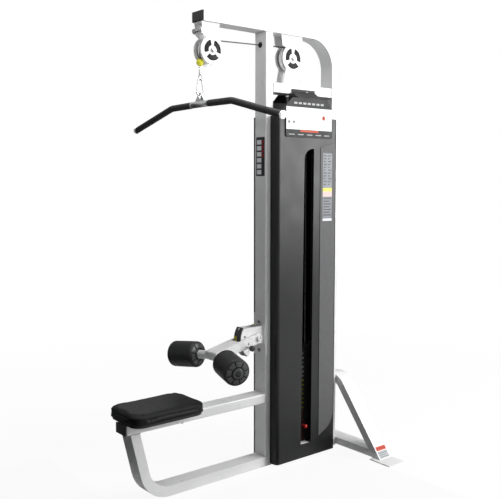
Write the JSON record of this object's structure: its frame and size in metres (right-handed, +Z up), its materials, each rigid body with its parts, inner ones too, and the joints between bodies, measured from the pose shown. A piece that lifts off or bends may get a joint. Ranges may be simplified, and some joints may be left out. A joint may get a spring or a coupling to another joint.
{
  "type": "lat pulldown machine",
  "caption": "Free-standing lat pulldown machine with a seat, angled thigh rollers, a cable-hung wide bar and a covered selector weight stack.",
  "frame": {"origin": "on the floor, on the machine's mid-plane, directly below the front face of the main upright", "axes": "+X to the machine's right, the side with the selector slot; +Y to the rear, the way the seated user faces; +Z up"},
  "size_m": [1.2328, 1.475, 2.34],
  "materials": {
    "white_paint": "gloss white powder coat",
    "grey_paint": "dark grey satin paint",
    "shroud_plastic": "lightly textured dark grey plastic",
    "accent_plastic": "mid grey plastic",
    "black_plastic": "black moulded plastic",
    "rubber": "black rubber",
    "upholstery": "black grained upholstery",
    "chrome": "bright chrome plate",
    "steel": "zinc-plated steel",
    "cable_coat": "black nylon sheath",
    "yellow_plastic": "bright yellow plastic",
    "red_plastic": "red plastic",
    "cast_iron": "black painted cast iron",
    "sign_face": "printed sheet plastic"
  },
  "bodies": {
    "frame": {"main_upright": "white_paint", "roof_tube": "white_paint", "crossbar": "white_paint", "base_beam": "white_paint", "seat_beam": "white_paint", "rear_arch": "white_paint", "rear_base_tube": "white_paint", "boom_end_cap": "black_plastic", "seat_beam_end_cap": "black_plastic", "cable_grommet": "rubber", "front_pulley_bracket": "white_paint", "rear_pulley_bracket": "white_paint", "front_axle_bolt": "steel", "rear_axle_bolt": "steel", "guide_rod_front": "chrome", "guide_rod_rear": "chrome", "stack_bumper": "rubber", "shroud_right": "shroud_plastic", "shroud_left": "shroud_plastic", "accent_panel": "accent_plastic", "placard_right": "sign_face", "placard_left": "sign_face", "thigh_bracket": "white_paint", "index_strip": "grey_paint", "pivot_bolt": "steel", "seat_pad": "upholstery", "cable_run_top": "cable_coat", "weight_plate_18": "cast_iron", "weight_plate_19": "cast_iron", "weight_plate_20": "cast_iron"},
    "front_wheel": {"front_pulley": "black_plastic"},
    "rear_wheel": {"rear_pulley": "black_plastic"},
    "pull_line": {"front_cable_drop": "cable_coat", "cable_stop_ball": "yellow_plastic"},
    "bar": {"cable_eye": "steel", "snap_hook": "chrome", "lat_bar": "chrome", "grip_right": "rubber", "grip_left": "rubber"},
    "gate": {"snap_gate": "chrome"},
    "stack": {"rear_cable_drop": "cable_coat", "head_plate": "cast_iron", "selector_stem": "steel", "weight_plate_01": "cast_iron", "weight_plate_02": "cast_iron", "weight_plates_03_04": "cast_iron", "weight_plates_05_06": "cast_iron", "weight_plates_07_08": "cast_iron", "weight_plates_09_10": "cast_iron", "weight_plates_11_12": "cast_iron", "weight_plates_13_14": "cast_iron", "weight_plates_15_16": "cast_iron", "weight_plate_17": "cast_iron"},
    "stack_pin": {"selector_pin": "red_plastic"},
    "arm": {"thigh_arm": "white_paint"},
    "arm_pin": {"pull_pin": "black_plastic"},
    "right_roller": {"roller_right": "rubber", "roller_cap_right": "black_plastic"},
    "left_roller": {"roller_left": "rubber", "roller_cap_left": "black_plastic"}
  },
  "joints": [
    {"name": "stack_lift", "type": "slide", "parent": "frame", "child": "stack", "axis": [0, 0, 1], "range_m": [0, 1], "deforming": ["rear_cable_drop"]},
    {"name": "bar_pull", "type": "slide", "parent": "frame", "child": "pull_line", "axis": [0, 0, -1], "range_m": [0, 1], "deforming": ["front_cable_drop"]},
    {"name": "front_pulley_spin", "type": "hinge", "parent": "frame", "child": "front_wheel", "pos_m": [0, -0.327, 2.158], "axis": [1, 0, 0], "continuous": true},
    {"name": "rear_pulley_spin", "type": "hinge", "parent": "frame", "child": "rear_wheel", "pos_m": [0, 0.2, 2.172], "axis": [1, 0, 0], "continuous": true},
    {"name": "bar_swivel", "type": "hinge", "parent": "pull_line", "child": "bar", "pos_m": [0, -0.381, 2.098], "axis": [0, 0, 1], "range_deg": [-60, 60]},
    {"name": "snap_gate_open", "type": "hinge", "parent": "bar", "child": "gate", "pos_m": [0, -0.4007, 1.95653], "axis": [-1, 0, 0], "range_deg": [0, 16]},
    {"name": "selector_pin_pull", "type": "slide", "parent": "stack", "child": "stack_pin", "axis": [1, 0, 0], "range_m": [0, 0.1]},
    {"name": "thigh_arm_swing", "type": "hinge", "parent": "frame", "child": "arm", "pos_m": [0, -0.046, 0.702], "axis": [1, 0, 0], "range_deg": [-37, 18.5]},
    {"name": "pull_pin_slide", "type": "slide", "parent": "arm", "child": "arm_pin", "axis": [1, 0, 0], "range_m": [-0.01, 0]},
    {"name": "roller_right_spin", "type": "hinge", "parent": "arm", "child": "right_roller", "pos_m": [0, -0.291, 0.643], "axis": [0.9593, -0.2624, -0.1045], "continuous": true},
    {"name": "roller_left_spin", "type": "hinge", "parent": "arm", "child": "left_roller", "pos_m": [0, -0.291, 0.643], "axis": [-0.9593, -0.2624, -0.1045], "continuous": true}
  ],
  "couplings": [
    {"joint": "bar_pull", "follows": "stack_lift", "ratio": 1},
    {"joint": "front_pulley_spin", "follows": "stack_lift", "rad_per_m": 18.519},
    {"joint": "rear_pulley_spin", "follows": "stack_lift", "rad_per_m": 16.667}
  ]
}
